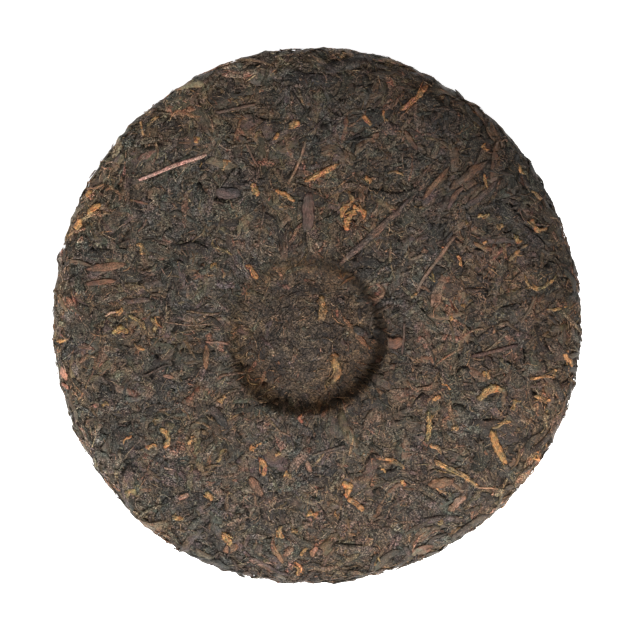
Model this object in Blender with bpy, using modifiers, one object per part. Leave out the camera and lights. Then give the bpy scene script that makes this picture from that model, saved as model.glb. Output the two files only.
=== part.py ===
"""A round cake of pressed pu erh tea, as a standalone Blender script.

Units are metres and +Z is up. The cake lies on its domed face, with the flat back and the hollow that
the cloth bag's knot left in it facing up. The origin is under the cake, on the surface it rests on.
"""

import math
import random

import bmesh
import bpy
from mathutils import Matrix, Vector, noise
from mathutils.bvhtree import BVHTree

MM = 0.001

# Size of the pressed cake
CAKE_RADIUS = 100 * MM
RIM_CENTRE = Vector((-0.5 * MM, -0.6 * MM, 0))
# Swells of the outline: waves round the rim, height of the wave, direction of its first crest
OUTLINE_SWELLS = (
    (2, 0.76 * MM, math.radians(87)),
    (3, 0.81 * MM, math.radians(-15)),
    (4, 0.27 * MM, math.radians(-26)),
    (7, 0.12 * MM, math.radians(-17)),
    (11, 0.10 * MM, math.radians(8)),
)
BACK_RISE = 7.0 * MM
FACE_FALL = 6.5 * MM
DOME_FALL = 8.5 * MM
MID_HEIGHT = FACE_FALL + DOME_FALL
REST_SPOT_RADIUS = 18 * MM
RIM_SQUARENESS = 22
SWELL_HEIGHT = 0.35 * MM
CRAG_HEIGHT = 0.6 * MM
CRAG_SPREAD = 9 * MM

# The knot's hollow in the back
HOLLOW_CENTRE = Vector((-3.2 * MM, -7.5 * MM, 0))
HOLLOW_RADIUS = 29.6 * MM
HOLLOW_DEPTH = 8 * MM
FLOOR_BULGE = 1.2 * MM
WALL_TIGHT = 4.2 * MM
WALL_SLACK = 13 * MM
STEEP_SIDE = math.radians(-25)
LIP_HEIGHT = 0.5 * MM
LIP_WIDTH = 4 * MM
PLEATS = 9
PLEAT_DEPTH = 0.6 * MM
PLEAT_REACH = 26 * MM
PLEAT_TWIST = 22

# How finely the blank is turned
SECTORS = 60
FLOOR_RINGS = (8, 15.5)
WALL_RINGS = (20.5, 24, 27, 29.2, 30.8)
BACK_RING_STEP = 6.2 * MM
FACE_RING_STEP = 7.4 * MM
SHOULDER = 0.91
RIM_RINGS = 5

# How the pieces at the surface are made
RIM_CORE_DEPTH = 9 * MM
PIECE_SIDES = 4
SHORT_PIECE = 9 * MM
TIGHT_BEND = 60
SHARP_FROM = math.radians(35)
SCATTER_SEED = 357
BACK_SCATTER = 28
RIM_SCATTER = 22
FACE_SCATTER = 28
GOLDEN_ANGLE = math.pi * (3 - math.sqrt(5))

# Pieces that stand out on the back, in millimetres from the rim's centre and degrees:
# x, y, heading, length, width, bend
GOLDEN_TIPS = (
    (37.4, 81.8, 46, 15, 2.0, 25),
    (2.2, 53.9, 27, 14.5, 1.8, 0),
    (-22.7, 47.7, -67, 6, 2.4, 10),
    (-11.5, 45.5, -30, 9, 1.6, 50),
    (-7.9, 72.1, 20, 5, 2.2, 0),
    (-83.1, 40.6, 38, 7, 2.0, 0),
    (-23.9, 17.1, -50, 7, 1.8, 0),
    (-73.2, -4.9, 5, 7, 2.2, 0),
    (-60.5, -2.6, -75, 7, 1.9, 30),
    (2.2, 3.4, -85, 10, 1.9, 20),
    (8.0, -19.3, -92, 12.5, 2.2, -65),
    (10.8, 39.9, -125, 6, 1.7, 40),
    (16.2, 39.7, -45, 7, 1.8, -30),
    (11.7, 34.6, -100, 5, 2.2, 0),
    (83.0, 33.7, -28, 8, 1.8, 0),
    (75.0, 24.0, 38, 12, 1.7, -25),
    (84.4, 10.9, 2, 17, 1.5, 165),
    (65.0, -27.1, 22, 12, 2.2, -105),
    (67.4, -48.7, -75, 14.5, 2.2, 15),
    (42.3, -43.0, -88, 15, 1.7, 15),
    (29.9, -53.9, -25, 9.5, 1.5, -105),
    (15.1, -70.0, -38, 8, 2.0, 0),
    (-1.3, -73.9, -50, 5, 2.0, 0),
    (-55.2, -44.9, -75, 9.5, 1.8, -150),
    (-19.5, -56.0, -78, 7.5, 1.9, 0),
    (-69.5, -65.9, 12, 5, 2.2, 0),
    (-33.2, -83.1, -60, 6, 2.3, 0),
    (-13.4, -80.7, -80, 5.5, 2.0, 40),
)
STEMS = (
    (-53.6, 55.8, 20, 26.6, 1.5, 0),
    (44.7, 20.6, 55, 26, 1.5, -12),
    (45.0, 50.2, 51, 16, 2.2, 0),
    (67.0, -12.7, 14, 18, 2.0, 0),
    (52.2, -58.0, -31, 18, 1.8, 8),
    (-6.2, 58.0, -112, 18, 1.4, -25),
)
BROAD_LEAVES = (
    (-2.8, 39.3, -95, 15, 5.0, 0),
    (-78.6, 18.5, 7, 16, 3.2, 0),
    (57.2, 53.2, 36, 18, 3.8, 0),
    (46.9, -62.1, 10, 11, 4.4, 0),
    (29.7, -9.7, 10, 9, 4.2, 0),
    (-32.8, 46.4, -5, 11, 4.6, 0),
    (-36.2, -37.4, -50, 12, 4.0, 0),
)


def smooth_step(value):
    """Eased rise from 0 to 1, flat before and after."""
    value = min(1.0, max(0.0, value))
    return value * value * (3 - 2 * value)


def outline(angle):
    """Distance from the rim's centre to the rim in this direction."""
    swells = sum(size * math.cos(waves * (angle - crest)) for waves, size, crest in OUTLINE_SWELLS)
    return CAKE_RADIUS + swells


def rim_fall(share):
    """How much of the full thickness is left at this share of the radius."""
    return math.sqrt(max(0.0, 1 - min(1.0, share) ** RIM_SQUARENESS))


def back_height(radius):
    """Height of the plain back over the ground at this radius."""
    return MID_HEIGHT + BACK_RISE * rim_fall(radius / CAKE_RADIUS)


def face_height(radius):
    """Height of the domed face over the ground: flat at the resting spot, rising to the rim."""
    out = max(0.0, (radius - REST_SPOT_RADIUS) / (CAKE_RADIUS - REST_SPOT_RADIUS))
    dome = DOME_FALL * (1 - out * out)
    return MID_HEIGHT - (FACE_FALL + dome) * rim_fall(radius / CAKE_RADIUS)


def hollow_relief(place):
    """Height that the knot adds to the flat back: the hollow, its lip and the cloth's pleats."""
    offset = place.xy - HOLLOW_CENTRE.xy
    out = offset.length
    towards = math.atan2(offset.y, offset.x)
    brim = HOLLOW_RADIUS * (1 + 0.02 * math.cos(2 * towards - 1) + 0.015 * math.cos(3 * towards))
    lean = math.sqrt(0.5 + 0.5 * math.cos(towards - STEEP_SIDE))
    wall = WALL_SLACK + (WALL_TIGHT - WALL_SLACK) * lean
    bulge = FLOOR_BULGE * max(0.0, 1 - (out / brim) ** 2)
    down_wall = min(1.0, max(0.0, (brim - out) / wall))
    sunk = (0.3 * smooth_step(down_wall) + 0.7 * down_wall * (2 - down_wall)) * (HOLLOW_DEPTH - bulge)
    beyond = (out - brim) / LIP_WIDTH
    lip = LIP_HEIGHT * lean * math.exp(-((beyond - 0.5) ** 2))
    fold = max(0.0, math.cos(PLEATS * towards + PLEAT_TWIST * out / CAKE_RADIUS)) ** 3
    fade = smooth_step(1 - abs(out - brim) / PLEAT_REACH)
    return lip - sunk - PLEAT_DEPTH * fold * fade


def ring_radii():
    """Radii of the turned rings on the back, from the hollow out to the shoulder."""
    radii = [ring * MM for ring in FLOOR_RINGS + WALL_RINGS]
    shoulder = SHOULDER * CAKE_RADIUS
    steps = round((shoulder - radii[-1]) / BACK_RING_STEP)
    step = (shoulder - radii[-1]) / steps
    return radii + [radii[-1] + step * (count + 1) for count in range(steps)]


def meridian():
    """Half section of the cake as (radius, height), from the back's centre round the rim to the face."""
    points = [(0.0, back_height(0.0))]
    points += [(radius, back_height(radius)) for radius in ring_radii()]
    start = math.asin(SHOULDER ** (RIM_SQUARENESS / 2))
    turns = [start + (math.pi / 2 - start) * count / RIM_RINGS for count in range(1, RIM_RINGS + 1)]
    rim = [CAKE_RADIUS * math.sin(turn) ** (2 / RIM_SQUARENESS) for turn in turns]
    points += [(radius, back_height(radius)) for radius in rim]
    points += [(radius, face_height(radius)) for radius in reversed(rim[:-1])]
    shoulder = SHOULDER * CAKE_RADIUS
    steps = round((shoulder - REST_SPOT_RADIUS) / FACE_RING_STEP)
    for count in range(steps + 1):
        radius = shoulder + (REST_SPOT_RADIUS - shoulder) * count / steps
        points.append((radius, face_height(radius)))
    return points + [(0.0, 0.0)]


def turned_blank(name):
    """The plain cake, turned from its half section with a Screw modifier, as a mesh object."""
    section = bpy.data.meshes.new(name + "_section")
    points = [(radius, 0, height) for radius, height in meridian()]
    section.from_pydata(points, [(n, n + 1) for n in range(len(points) - 1)], [])
    turned = bpy.data.objects.new(name + "_section", section)
    bpy.context.scene.collection.objects.link(turned)
    screw = turned.modifiers.new("turn", "SCREW")
    screw.steps = screw.render_steps = SECTORS
    screw.use_merge_vertices = True
    screw.merge_threshold = 1e-5
    bpy.context.view_layer.update()
    graph = bpy.context.evaluated_depsgraph_get()
    mesh = bpy.data.meshes.new_from_object(turned.evaluated_get(graph))
    bpy.data.objects.remove(turned)
    return bpy.data.objects.new(name, mesh)


def crag(place):
    """Unevenness of the pressed leaf, from about -1 to 1, of the size of a leaf piece."""
    return noise.noise(place / CRAG_SPREAD) + 0.6 * noise.noise(place * 2.3 / CRAG_SPREAD)


def press(blank):
    """Gives the turned blank its uneven outline, the knot's hollow and its crags."""
    form = bmesh.new()
    form.from_mesh(blank.data)
    bmesh.ops.recalc_face_normals(form, faces=form.faces)
    form.normal_update()
    outward = {vertex: vertex.normal.copy() for vertex in form.verts}
    for vertex in form.verts:
        place = vertex.co
        radius = place.xy.length
        angle = math.atan2(place.y, place.x)
        on_back = place.z > MID_HEIGHT + 0.5 * BACK_RISE
        stretch = outline(angle) / CAKE_RADIUS
        height = place.z
        moved = Vector((place.x * stretch, place.y * stretch, height))
        if on_back:
            # The inner rings are turned about the hollow and the outer ones about the rim's centre.
            moved += HOLLOW_CENTRE * (1 - smooth_step((radius / CAKE_RADIUS - 0.32) / 0.4))
            moved.z += hollow_relief(moved)
            moved.z += SWELL_HEIGHT * math.sin(55 * moved.x + 1) * math.cos(48 * moved.y)
        resting = not on_back and radius <= REST_SPOT_RADIUS + 1e-6
        if not resting:
            moved += outward[vertex] * CRAG_HEIGHT * (crag(moved) - 0.2)
        moved.z = max(0.0, moved.z)
        vertex.co = moved
    form.to_mesh(blank.data)
    form.free()


def colour(name, base, roughness):
    """A leaf material of one base colour."""
    material = bpy.data.materials.new(name)
    material.use_nodes = True
    shader = material.node_tree.nodes["Principled BSDF"]
    shader.inputs["Base Color"].default_value = (*base, 1)
    shader.inputs["Roughness"].default_value = roughness
    shader.inputs["Metallic"].default_value = 0
    material.diffuse_color = (*base, 1)
    return material


def rod(cuts):
    """A rod of unit radius from z = -0.5 to z = 0.5, with rings of points between its ends."""
    form = bmesh.new()
    bmesh.ops.create_cone(form, cap_ends=True, segments=PIECE_SIDES, radius1=1, radius2=1, depth=1)
    long_edges = [edge for edge in form.edges if abs(edge.verts[0].co.z - edge.verts[1].co.z) > 0.5]
    bmesh.ops.subdivide_edges(form, edges=long_edges, cuts=cuts)
    bmesh.ops.triangulate(form, faces=form.faces)
    return form


def bent_place(along, across, size):
    """Plan place of a point along and across a bent piece, from the piece's middle."""
    turn = math.radians(size["bend"]) * along
    if abs(size["bend"]) > 1:
        arc = size["length"] / math.radians(size["bend"])
        place = Vector((arc * math.sin(turn), arc * (1 - math.cos(turn))))
    else:
        place = Vector((size["length"] * along, 0.0))
    place += across * Vector((-math.sin(turn), math.cos(turn)))
    heading = math.radians(size["heading"])
    return Vector(
        (
            place.x * math.cos(heading) - place.y * math.sin(heading),
            place.x * math.sin(heading) + place.y * math.cos(heading),
        )
    )


def add_piece(collection, material, lay, spot, size):
    """Makes one piece of leaf, tip or stem, lies it on the skin at spot and puts it in the collection."""
    form = rod(1 + (size["length"] > SHORT_PIECE) + (abs(size["bend"]) > TIGHT_BEND))
    for vertex in form.verts:
        across, up, along = vertex.co
        taper = 1 - size["taper"] * abs(2 * along) ** 2.5
        plan = bent_place(along, across * taper * size["width"] / 2, size)
        lift = up * taper * size["thickness"] + size["wave"] * math.sin(9 * along)
        vertex.co = lay(spot[0] + plan.x, spot[1] + plan.y, lift)
    form.normal_update()
    bmesh.ops.recalc_face_normals(form, faces=form.faces)
    mesh = bpy.data.meshes.new("piece")
    form.to_mesh(mesh)
    form.free()
    mesh.materials.append(material)
    collection.objects.link(bpy.data.objects.new("piece", mesh))


def skin_of(blank):
    """Three ways to lie a point on the pressed blank: on its back, on its rim and on its face."""
    tree = BVHTree.FromPolygons(
        [vertex.co.copy() for vertex in blank.data.vertices],
        [tuple(face.vertices) for face in blank.data.polygons],
    )
    up = Vector((0, 0, 1))

    def on_back(x, y, lift):
        hit = tree.ray_cast(Vector((x, y, 0.1)), -up)[0]
        return hit + up * lift

    def on_face(x, y, lift):
        hit = tree.ray_cast(Vector((x, y, -0.1)), up)[0]
        return Vector((hit.x, hit.y, max(0.0, hit.z - lift)))

    def on_rim(around, down, lift):
        angle = around / CAKE_RADIUS
        outward = Vector((math.cos(angle), math.sin(angle), 0))
        turn = down / RIM_CORE_DEPTH
        ray = outward * math.cos(turn) - up * math.sin(turn)
        core = outward * (CAKE_RADIUS - RIM_CORE_DEPTH) + up * MID_HEIGHT
        hit = tree.ray_cast(core, ray)[0]
        return hit + ray * lift

    return on_back, on_rim, on_face


def size_of(heading, length, width, bend, kind):
    """Sizes of one piece in metres: a tip is thick and tapered, a stem straight, a leaf thin and wavy."""
    thickness, taper, wave = {
        "tip": (0.45 * width, 0.7, 0.0),
        "stem": (0.6 * width, 0.25, 0.0),
        "leaf": (0.25 * width, 0.65, 0.06 * width),
    }[kind]
    return {
        "heading": heading,
        "length": length * MM,
        "width": width * MM,
        "bend": bend,
        "thickness": min(1.1, max(0.6, thickness)) * MM,
        "taper": taper,
        "wave": wave * MM,
    }


def random_size(rng):
    """Kind and sizes of a scattered piece."""
    kind = rng.choice(("tip", "leaf", "leaf", "leaf", "stem"))
    heading = rng.uniform(0, 360)
    if kind == "tip":
        return kind, size_of(heading, rng.uniform(5, 9), rng.uniform(1.6, 2.2), rng.gauss(0, 50), kind)
    if kind == "stem":
        return kind, size_of(heading, rng.uniform(9, 16), rng.uniform(1.3, 1.9), rng.gauss(0, 10), kind)
    return kind, size_of(heading, rng.uniform(8, 14), rng.uniform(2.6, 4.4), rng.gauss(0, 20), kind)


def add_scattered(collection, materials, skin):
    """Spreads further pieces over the back, the rim and the face by the golden angle."""
    rng = random.Random(SCATTER_SEED)
    on_back, on_rim, on_face = skin
    inner = HOLLOW_RADIUS + 9 * MM
    outer = 88 * MM
    for count in range(BACK_SCATTER):
        share = (count + 0.5) / BACK_SCATTER
        radius = math.sqrt(inner**2 + (outer**2 - inner**2) * share)
        angle = GOLDEN_ANGLE * count + rng.uniform(-0.15, 0.15)
        kind, size = random_size(rng)
        spot = (radius * math.cos(angle), radius * math.sin(angle))
        add_piece(collection, materials[kind], on_back, spot, size)
    inner = REST_SPOT_RADIUS + 9 * MM
    for count in range(FACE_SCATTER):
        share = (count + 0.5) / FACE_SCATTER
        radius = math.sqrt(inner**2 + (outer**2 - inner**2) * share)
        angle = GOLDEN_ANGLE * count + rng.uniform(-0.15, 0.15)
        kind, size = random_size(rng)
        spot = (radius * math.cos(angle), radius * math.sin(angle))
        add_piece(collection, materials[kind], on_face, spot, size)
    for count in range(RIM_SCATTER):
        around = 2 * math.pi * CAKE_RADIUS * (count + rng.uniform(-0.3, 0.3)) / RIM_SCATTER
        down = rng.uniform(-0.6, 0.6) * RIM_CORE_DEPTH
        kind, size = random_size(rng)
        size["heading"] = rng.choice((0, 180)) + rng.gauss(0, 30)
        size["length"] *= 0.8
        add_piece(collection, materials[kind], on_rim, (around, down), size)


def add_listed(collection, materials, skin):
    """Puts the tips, stems and broad leaves that stand out on the back where they lie."""
    on_back = skin[0]
    for kind, pieces in (("tip", GOLDEN_TIPS), ("stem", STEMS), ("leaf", BROAD_LEAVES)):
        for x, y, heading, length, width, bend in pieces:
            size = size_of(heading, length, width, bend, kind)
            add_piece(collection, materials[kind], on_back, (x * MM, y * MM), size)


def fuse(cake, pieces):
    """Joins the pieces, which also cross each other, to the cake with one union and removes them."""
    union = cake.modifiers.new("fuse", "BOOLEAN")
    union.operation = "UNION"
    union.operand_type = "COLLECTION"
    union.collection = pieces
    union.use_self = True
    union.material_mode = "TRANSFER"
    bpy.context.view_layer.update()
    graph = bpy.context.evaluated_depsgraph_get()
    fused = bpy.data.meshes.new_from_object(cake.evaluated_get(graph))
    cake.modifiers.clear()
    cake.data = fused
    for piece in list(pieces.objects):
        bpy.data.objects.remove(piece)
    bpy.data.collections.remove(pieces)


def keep_largest_shell(cake):
    """Fills hollows that fusing sealed and drops loose scraps: only the outermost shell stays."""
    form = bmesh.new()
    form.from_mesh(cake.data)
    waiting = set(form.verts)
    shells = []
    while waiting:
        shell = [waiting.pop()]
        for vertex in shell:
            for edge in vertex.link_edges:
                other = edge.other_vert(vertex)
                if other in waiting:
                    waiting.remove(other)
                    shell.append(other)
        shells.append(shell)
    shells.sort(key=len)
    scraps = [vertex for shell in shells[:-1] for vertex in shell]
    bmesh.ops.delete(form, geom=scraps, context="VERTS")
    form.to_mesh(cake.data)
    form.free()


def finish(cake):
    """Moves the cake to its place over the origin and shades it smooth, with its sharp edges kept."""
    cake.data.transform(Matrix.Translation(RIM_CENTRE))
    cake.data.shade_smooth()
    cake.data.set_sharp_from_angle(angle=SHARP_FROM)


for leftover in list(bpy.data.objects):
    bpy.data.objects.remove(leftover)
tea_cakes = bpy.data.collections.new("pu_erh_tea_cake")
bpy.context.scene.collection.children.link(tea_cakes)
loose_pieces = bpy.data.collections.new("surface_pieces")
bpy.context.scene.collection.children.link(loose_pieces)

tea_materials = {
    "leaf": colour("dark_leaf", (0.085, 0.062, 0.047), 0.7),
    "tip": colour("golden_tip", (0.36, 0.19, 0.075), 0.65),
    "stem": colour("brown_stem", (0.16, 0.095, 0.065), 0.7),
}
tea_cake = turned_blank("tea_cake")
tea_cake.data.materials.append(tea_materials["leaf"])
tea_cakes.objects.link(tea_cake)
press(tea_cake)
tea_skin = skin_of(tea_cake)
add_listed(loose_pieces, tea_materials, tea_skin)
add_scattered(loose_pieces, tea_materials, tea_skin)
fuse(tea_cake, loose_pieces)
keep_largest_shell(tea_cake)
finish(tea_cake)
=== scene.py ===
"""A round cake of pressed pu erh tea, lying on its face with the knot's hollow up, dressed leaf by leaf."""

import math

import bmesh
import bpy
import numpy as np
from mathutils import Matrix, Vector


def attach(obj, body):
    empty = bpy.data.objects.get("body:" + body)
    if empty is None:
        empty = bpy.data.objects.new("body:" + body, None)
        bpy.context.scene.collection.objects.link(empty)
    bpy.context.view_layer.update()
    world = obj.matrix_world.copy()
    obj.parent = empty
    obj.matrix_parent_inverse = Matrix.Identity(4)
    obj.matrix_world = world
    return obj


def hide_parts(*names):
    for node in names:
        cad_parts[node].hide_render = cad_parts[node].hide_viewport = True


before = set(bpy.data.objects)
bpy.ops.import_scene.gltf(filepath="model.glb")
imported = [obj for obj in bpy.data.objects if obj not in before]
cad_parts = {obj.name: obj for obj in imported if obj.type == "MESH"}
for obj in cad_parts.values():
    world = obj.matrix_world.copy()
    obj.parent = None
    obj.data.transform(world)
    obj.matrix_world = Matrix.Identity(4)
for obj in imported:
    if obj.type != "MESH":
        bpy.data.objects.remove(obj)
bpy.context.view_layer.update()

# The core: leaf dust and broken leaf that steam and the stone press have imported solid. It shows only in
# the cracks between the leaves. It is turned from the cake's half section and takes the knot's hollow.
MM = 0.001
CAKE_RADIUS = 100 * MM
RIM_CENTRE = (-0.5 * MM, -0.6 * MM, 0)
OUTLINE_SWELLS = (
    (2, 0.76 * MM, math.radians(87)),
    (3, 0.81 * MM, math.radians(-15)),
    (4, 0.27 * MM, math.radians(-26)),
    (7, 0.12 * MM, math.radians(-17)),
    (11, 0.10 * MM, math.radians(8)),
)
BACK_RISE = 7.0 * MM
FACE_FALL = 6.5 * MM
DOME_FALL = 8.5 * MM
MID_HEIGHT = FACE_FALL + DOME_FALL
REST_SPOT_RADIUS = 18 * MM
RIM_SQUARENESS = 22
SHOULDER = 90 * MM
FLAT_STEPS = 160
RIM_STEPS = 60
SWELL_HEIGHT = 0.35 * MM
SWELL_WAVES = (55, 48)
SWELL_END = 80 * MM
SWELL_FADE = 15 * MM
HOLLOW_CENTRE = (-3.2 * MM, -7.5 * MM)
HOLLOW_RADIUS = 29.6 * MM
HOLLOW_SWELLS = ((2, 0.02, 0.5), (3, 0.015, 0))
HOLLOW_DEPTH = 8 * MM
FLOOR_BULGE = 1.2 * MM
WALL_TIGHT = 4.2 * MM
WALL_SLACK = 13 * MM
STEEP_SIDE = math.radians(-25)
LIP_HEIGHT = 0.5 * MM
LIP_WIDTH = 4 * MM
PLEATS = 9
PLEAT_DEPTH = 0.6 * MM
PLEAT_REACH = 26 * MM
PLEAT_TWIST = 22
BACK, FACE = 1, -1
CORE_INSET = 0.08 * MM
RIM_INSET = 0.5 * MM
INSET_START = 90 * MM
INSET_SPAN = 6 * MM
CORE_SECTORS = 256
CORE_RINGS_BACK = 84
CORE_RINGS_FACE = 36
CRAG_HEIGHT = 0.14 * MM
CRAG_WAVES = 28
CRAG_LENGTHS = (3 * MM, 9 * MM)
CORE_CRAG_SEED = 5
RIM_CRAG_SEED = 9
RIM_UNEVENNESS = 0.38 * MM
RIM_START = 88 * MM
RIM_SPAN = 8 * MM
SQUEEZE_HEIGHT = 0.4 * MM
CORE_COLOUR = (0.026, 0.021, 0.018, 1)
CORE_DUST_COLOUR = (0.082, 0.058, 0.037, 1)
CLUMP_BUMPS = 230
LEAF_SPECULAR = 0.24
SPECK_BUMPS = 1900
SPECK_SHADES = (0.3, 1.68)
HAIR_BUMPS = 700
HAIR_SHADES = (1.95, 0.84)
CRACK_BUMPS = 420
CRACK_SHADES = (0.22, 1.05)
LINE_WIDTH = 0.035

# Where the cake is dusty or rubbed, and where light and shade are painted on it: tints that its own colour
# is multiplied by. A side is the direction that it lies in from the middle, and a reach is where its tint
# sets in and where it is full.
# The rim: paler all round, partly from wear and partly painted light where it catches light from the floor.
RIM_WEAR_AND_LIGHT_START = 89 * MM
RIM_WEAR_AND_LIGHT_END = 99 * MM
RIM_WEAR_AND_LIGHT_TINT = (1.35, 1.35, 1.3, 1)
# Painted light on the rim, strongest on the side that the light comes from.
RIM_LIGHT_SIDE = math.radians(140)
RIM_LIGHT_REACH = (-40 * MM, 90 * MM)
PAINTED_RIM_LIGHT_TINT = (2.5, 2.48, 2.38, 1)
# Painted shade on the rim at the front.
FRONT_SHADE_SIDE = math.radians(-95)
FRONT_SHADE_REACH = (65 * MM, 98 * MM)
FRONT_RIM_SHADE_TINT = (0.78, 0.77, 0.76, 1)
WALL_RADIUS = 27 * MM
WALL_BAND = 4.4 * MM
# The hollow's wall: brown with dust and painted lighter on one side, and darkened with painted shade on the
# other.
DUSTY_LIT_WALL_TINT = (1.18, 1.0, 0.76, 1)
SHADED_WALL_SIDE = math.radians(15)
SHADED_WALL_REACH = (-0.4, 0.9)
SHADED_WALL_TINT = (0.34, 0.28, 0.21, 1)
FLOOR_SHARE = 0.8
MIDDLE_RADIUS = 15 * MM
FLOOR_TINTS = ((0.88, 0.78, 0.66, 1), (0.77, 0.73, 0.70, 1))
BLOT_BUMPS = 130
BLOT_TINTS = ((0.62, 0.6, 0.62, 1), (1.2, 1.18, 1.12, 1))
GRIT_BUMPS = 1500
GRIT_TINTS = ((0.42, 0.39, 0.34, 1), (1.78, 1.82, 2.0, 1))
SWIRL_RINGS = 420
SWIRL_TURNS = (3, 3, 0)
SWIRL_TINTS = ((0.7, 0.68, 0.68, 1), (1.3, 1.26, 1.2, 1))
# Painted shade on the cake just outside the hollow's brim, on one side.
LIP_RADIUS = 34 * MM
LIP_BAND = 9 * MM
LIP_SHADE_SIDE = math.radians(-50)
LIP_SHADE_REACH = (-0.3, 0.9)
LIP_SHADE_TINT = (0.66, 0.65, 0.64, 1)
# A thin line of painted shade along the hollow's brim, where it steps down, on the top side.
BRIM_RADIUS = 29.4 * MM
BRIM_BAND = 3.5 * MM
BRIM_SHADE_SIDE = math.radians(105)
BRIM_SHADE_REACH = (0, 0.8)
BRIM_SHADE_TINT = (0.50, 0.44, 0.34, 1)
PATCH_BUMPS = 36
PATCH_TINTS = ((0.93, 1.0, 1.08, 1), (1.055, 0.985, 0.90, 1))
RUSSET_SIDE = math.radians(15)
RUSSET_REACH = (0, 90 * MM)
RUSSET_TINT = (1.06, 0.97, 0.91, 1)
# Painted shade towards the upper right, and painted light towards the left, as the light falls.
SHADED_SIDE = math.radians(43)
SHADED_REACH = (40 * MM, 90 * MM)
SHADED_SIDE_SHADES = (1.03, 0.51)
LIT_SIDE = math.radians(165)
LIT_REACH = (35 * MM, 90 * MM)
LIT_SIDE_SHADES = (1, 1.2)


def smooth_step(value):
    """Eased rise from 0 to 1, flat before and after."""
    value = np.clip(value, 0, 1)
    return value * value * (3 - 2 * value)


def swell(angle, swells):
    """How much waves of these counts, sizes and crests add up to in this direction."""
    return sum(size * np.cos(waves * (angle - crest)) for waves, size, crest in swells)


def outline_stretch(angle):
    """The rim's distance from its centre in this direction, as a share of the cake's radius."""
    return 1 + swell(angle, OUTLINE_SWELLS) / CAKE_RADIUS


def rim_share(u, v, start=RIM_START, span=RIM_SPAN):
    """How far onto the rim plan places lie: 0 inside its start, and 1 beyond its span."""
    return smooth_step((np.hypot(u, v) - start) / span)


def half_section(side):
    """Radius and height of one side, by distance from its middle: flat first, then on round the rim."""
    start = math.asin((SHOULDER / CAKE_RADIUS) ** (RIM_SQUARENESS / 2))
    turns = np.linspace(start, math.pi / 2, RIM_STEPS)
    rim = CAKE_RADIUS * np.sin(turns) ** (2 / RIM_SQUARENESS)
    radius = np.concatenate([np.linspace(0, SHOULDER, FLAT_STEPS, endpoint=False), rim])
    fall = np.sqrt(1 - np.minimum(1, radius / CAKE_RADIUS) ** RIM_SQUARENESS)
    out = np.clip((radius - REST_SPOT_RADIUS) / (CAKE_RADIUS - REST_SPOT_RADIUS), 0, None)
    heights = {
        BACK: MID_HEIGHT + BACK_RISE * fall,
        FACE: MID_HEIGHT - (FACE_FALL + DOME_FALL * (1 - out * out)) * fall,
    }
    flat = radius <= SHOULDER
    steps = np.hypot(np.diff(radius), np.where(flat[1:], 0, np.diff(heights[side])))
    reach = np.concatenate([[0], np.cumsum(steps)])
    beyond = slice(-2, -RIM_STEPS, -1)
    far_steps = np.hypot(np.diff(radius[::-1]), np.diff(heights[-side][::-1]))[:RIM_STEPS - 2]
    return (
        np.concatenate([reach, reach[-1] + np.cumsum(far_steps)]),
        np.concatenate([radius, radius[beyond]]),
        np.concatenate([heights[side], heights[-side][beyond]]),
    )


HALF_SECTIONS = {side: half_section(side) for side in (BACK, FACE)}
RIM_REACH = {side: reach[radius.argmax()] for side, (reach, radius, height) in HALF_SECTIONS.items()}


def hollow_relief(x, y):
    """Height that the knot adds to the flat back: the hollow, its lip and the cloth's pleats."""
    away_x = x - HOLLOW_CENTRE[0]
    away_y = y - HOLLOW_CENTRE[1]
    out = np.hypot(away_x, away_y)
    towards = np.arctan2(away_y, away_x)
    brim = HOLLOW_RADIUS * (1 + swell(towards, HOLLOW_SWELLS))
    lean = np.sqrt(0.5 + 0.5 * np.cos(towards - STEEP_SIDE))
    wall = WALL_SLACK + (WALL_TIGHT - WALL_SLACK) * lean
    bulge = FLOOR_BULGE * np.clip(1 - (out / brim) ** 2, 0, None)
    down_wall = np.clip((brim - out) / wall, 0, 1)
    sunk = (0.3 * smooth_step(down_wall) + 0.7 * down_wall * (2 - down_wall)) * (HOLLOW_DEPTH - bulge)
    lip = LIP_HEIGHT * lean * np.exp(-(((out - brim) / LIP_WIDTH - 0.5) ** 2))
    fold = np.clip(np.cos(PLEATS * towards + PLEAT_TWIST * out / CAKE_RADIUS), 0, None) ** 3
    fade = smooth_step(1 - np.abs(out - brim) / PLEAT_REACH)
    return lip - sunk - PLEAT_DEPTH * fold * fade


def skin(u, v, side):
    """Places on the cake's surface. Past the shoulder the plan places u and v run on round the rim."""
    reach = np.hypot(u, v)
    angle = np.arctan2(v, u)
    reaches, radii, heights = HALF_SECTIONS[side]
    radius = np.interp(reach, reaches, radii) * outline_stretch(angle)
    x = radius * np.cos(angle)
    y = radius * np.sin(angle)
    z = np.interp(reach, reaches, heights)
    if side == BACK:
        height = SWELL_HEIGHT * (1 - rim_share(u, v, SWELL_END, SWELL_FADE))
        z = z + hollow_relief(x, y)
        z = z + height * np.sin(SWELL_WAVES[0] * x + 1) * np.cos(SWELL_WAVES[1] * y)
    return np.stack([x + RIM_CENTRE[0], y + RIM_CENTRE[1], z], axis=-1)


def crags(places, seed):
    """Unevenness of packed broken leaf at each place, about -1 to 1, from waves in all directions."""
    rng = np.random.default_rng(seed)
    waves = rng.normal(size=(CRAG_WAVES, 3))
    lengths = rng.uniform(*CRAG_LENGTHS, CRAG_WAVES)
    waves *= (2 * math.pi / lengths / np.linalg.norm(waves, axis=1))[:, None]
    return np.sin(places @ waves.T + rng.uniform(0, 7, CRAG_WAVES)).sum(axis=-1) / math.sqrt(CRAG_WAVES)


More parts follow.
